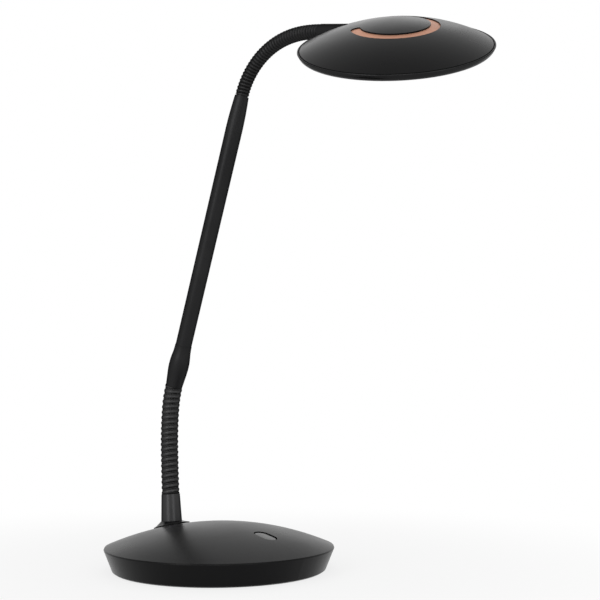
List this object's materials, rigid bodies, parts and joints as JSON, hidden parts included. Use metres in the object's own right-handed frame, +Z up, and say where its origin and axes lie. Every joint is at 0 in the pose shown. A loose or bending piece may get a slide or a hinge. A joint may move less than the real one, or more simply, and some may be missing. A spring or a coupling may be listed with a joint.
{
  "type": "gooseneck desk lamp",
  "caption": "Desk lamp with a weighted round domed base, a straight arm between two flexible goosenecks, and a flat saucer head with a ring inlay that lights downwards.",
  "frame": {"origin": "centre of the round base's footprint on the desk, on the non-slip pad's underside", "axes": "+Z up from the desk, +X to the front, the side the head reaches over and the button is on, +Y to the left"},
  "size_m": [0.329, 0.1794, 0.4201],
  "materials": {
    "black_plastic": "satin moulded, fine grain",
    "gloss_black": "glossy moulded",
    "neck_black": "black oxide coil, satin",
    "black_metal": "satin black enamel",
    "ballast_iron": "as cast",
    "zinc_steel": "zinc plated",
    "copper_tone": "copper-toned anodised, satin",
    "pad_rubber": "matt non-slip",
    "board": "green solder mask",
    "frosted_acrylic": "frosted, translucent",
    "clear_acrylic": "clear with printed dots underneath",
    "white_film": "white diffuse film",
    "bare_aluminium": "rolled sheet",
    "lead_jacket": "matt PVC jacket",
    "led_yellow": "phosphor over a white housing",
    "inlet_plastic": "moulded housing of the inlet"
  },
  "bodies": {
    "base": {"base_shell": "black_plastic", "base_plate": "black_metal", "base_ballast": "ballast_iron", "base_pad": "pad_rubber", "base_screws": "zinc_steel", "stem_collar": "black_metal", "stem_socket": "black_metal", "stem_washer": "zinc_steel", "stem_nut": "zinc_steel", "power_inlet": "inlet_plastic", "control_board": "board", "board_screws": "zinc_steel", "switch_body": "black_plastic"},
    "button": {"power_button": "gloss_black", "switch_plunger": "black_plastic"},
    "lower_link_1": {"lower_neck_link_1": "neck_black"},
    "lower_link_2": {"lower_neck_link_2": "neck_black"},
    "lower_link_3": {"lower_neck_link_3": "neck_black"},
    "lower_link_4": {"lower_neck_link_4": "neck_black"},
    "lower_link_5": {"lower_neck_link_5": "neck_black"},
    "arm": {"lower_coupler": "black_metal", "arm_tube": "black_metal", "upper_coupler": "black_metal", "arm_lead": "lead_jacket"},
    "upper_link_1": {"upper_neck_link_1": "neck_black"},
    "upper_link_2": {"upper_neck_link_2": "neck_black"},
    "upper_link_3": {"upper_neck_link_3": "neck_black"},
    "upper_link_4": {"upper_neck_link_4": "neck_black"},
    "upper_link_5": {"upper_neck_link_5": "neck_black"},
    "upper_link_6": {"upper_neck_link_6": "neck_black"},
    "upper_link_7": {"upper_neck_link_7": "neck_black"},
    "upper_link_8": {"upper_neck_link_8": "neck_black"},
    "upper_link_9": {"upper_neck_link_9": "neck_black"},
    "ferrule": {"head_ferrule": "black_metal", "swivel_clip": "zinc_steel"},
    "head": {"head_shell": "black_plastic", "copper_inlay": "copper_tone", "head_bezel": "gloss_black", "bezel_screws": "zinc_steel", "diffuser": "frosted_acrylic", "light_guide": "clear_acrylic", "reflector_sheet": "white_film", "led_strip": "board", "led_chips": "led_yellow", "back_plate": "bare_aluminium", "plate_screws": "zinc_steel"}
  },
  "joints": [
    {"name": "button_press", "type": "slide", "parent": "base", "child": "button", "axis": [-0.2169, 0, -0.9762], "range_m": [0, 0.0006], "stiffness_N_per_m": 3300},
    {"name": "lower_pitch", "type": "hinge", "parent": "base", "child": "lower_link_1", "pos_m": [-0.06091, 0, 0.05557], "axis": [0, 1, 0], "range_deg": [-12, 12]},
    {"name": "lower_side", "type": "hinge", "parent": "lower_link_1", "child": "lower_link_2", "pos_m": [-0.06209, 0, 0.07313], "axis": [0.9984, 0, 0.0558], "range_deg": [-12, 12]},
    {"name": "lower_pitch_2", "type": "hinge", "parent": "lower_link_2", "child": "lower_link_3", "pos_m": [-0.06295, 0, 0.09071], "axis": [0, 1, 0], "range_deg": [-12, 12]},
    {"name": "lower_side_2", "type": "hinge", "parent": "lower_link_3", "child": "lower_link_4", "pos_m": [-0.06317, 0, 0.10831], "axis": [0.9998, 0, -0.0175], "range_deg": [-12, 12]},
    {"name": "lower_pitch_3", "type": "hinge", "parent": "lower_link_4", "child": "lower_link_5", "pos_m": [-0.06215, 0, 0.12587], "axis": [0, 1, 0], "range_deg": [-12, 12]},
    {"name": "lower_side_3", "type": "hinge", "parent": "lower_link_5", "child": "arm", "pos_m": [-0.0584, 0, 0.14303], "axis": [0.9452, 0, -0.3264], "range_deg": [-12, 12]},
    {"name": "upper_pitch", "type": "hinge", "parent": "arm", "child": "upper_link_1", "pos_m": [0.02205, 0, 0.37603], "axis": [0, 1, 0], "range_deg": [-9, 9]},
    {"name": "upper_side", "type": "hinge", "parent": "upper_link_1", "child": "upper_link_2", "pos_m": [0.02689, 0, 0.3861], "axis": [0.8457, 0, -0.5336], "range_deg": [-9, 9]},
    {"name": "upper_pitch_2", "type": "hinge", "parent": "upper_link_2", "child": "upper_link_3", "pos_m": [0.03387, 0, 0.39483], "axis": [0, 1, 0], "range_deg": [-9, 9]},
    {"name": "upper_side_2", "type": "hinge", "parent": "upper_link_3", "child": "upper_link_4", "pos_m": [0.04258, 0, 0.40184], "axis": [0.541, 0, -0.841], "range_deg": [-9, 9]},
    {"name": "upper_pitch_3", "type": "hinge", "parent": "upper_link_4", "child": "upper_link_5", "pos_m": [0.05253, 0, 0.40694], "axis": [0, 1, 0], "range_deg": [-9, 9]},
    {"name": "upper_side_3", "type": "hinge", "parent": "upper_link_5", "child": "upper_link_6", "pos_m": [0.06326, 0, 0.41008], "axis": [0.1951, 0, -0.9808], "range_deg": [-9, 9]},
    {"name": "upper_pitch_4", "type": "hinge", "parent": "upper_link_6", "child": "upper_link_7", "pos_m": [0.07437, 0, 0.41141], "axis": [0, 1, 0], "range_deg": [-9, 9]},
    {"name": "upper_side_4", "type": "hinge", "parent": "upper_link_7", "child": "upper_link_8", "pos_m": [0.08556, 0, 0.41115], "axis": [-0.088, 0, -0.9961], "range_deg": [-9, 9]},
    {"name": "upper_pitch_5", "type": "hinge", "parent": "upper_link_8", "child": "upper_link_9", "pos_m": [0.09665, 0, 0.40961], "axis": [0, 1, 0], "range_deg": [-9, 9]},
    {"name": "upper_side_5", "type": "hinge", "parent": "upper_link_9", "child": "ferrule", "pos_m": [0.10758, 0, 0.40716], "axis": [-0.2512, 0, -0.9679], "range_deg": [-9, 9]},
    {"name": "head_swivel", "type": "hinge", "parent": "ferrule", "child": "head", "pos_m": [0.13739, 0, 0.39942], "axis": [0.9679, 0, -0.2512], "range_deg": [-117.5, 62.5]}
  ],
  "couplings": [
    {"joint": "lower_pitch_2", "follows": "lower_pitch", "ratio": 1},
    {"joint": "lower_side_2", "follows": "lower_side", "ratio": 1},
    {"joint": "lower_pitch_3", "follows": "lower_pitch", "ratio": 1},
    {"joint": "lower_side_3", "follows": "lower_side", "ratio": 1},
    {"joint": "upper_pitch_2", "follows": "upper_pitch", "ratio": 1},
    {"joint": "upper_side_2", "follows": "upper_side", "ratio": 1},
    {"joint": "upper_pitch_3", "follows": "upper_pitch", "ratio": 1},
    {"joint": "upper_side_3", "follows": "upper_side", "ratio": 1},
    {"joint": "upper_pitch_4", "follows": "upper_pitch", "ratio": 1},
    {"joint": "upper_side_4", "follows": "upper_side", "ratio": 1},
    {"joint": "upper_pitch_5", "follows": "upper_pitch", "ratio": 1},
    {"joint": "upper_side_5", "follows": "upper_side", "ratio": 1}
  ]
}
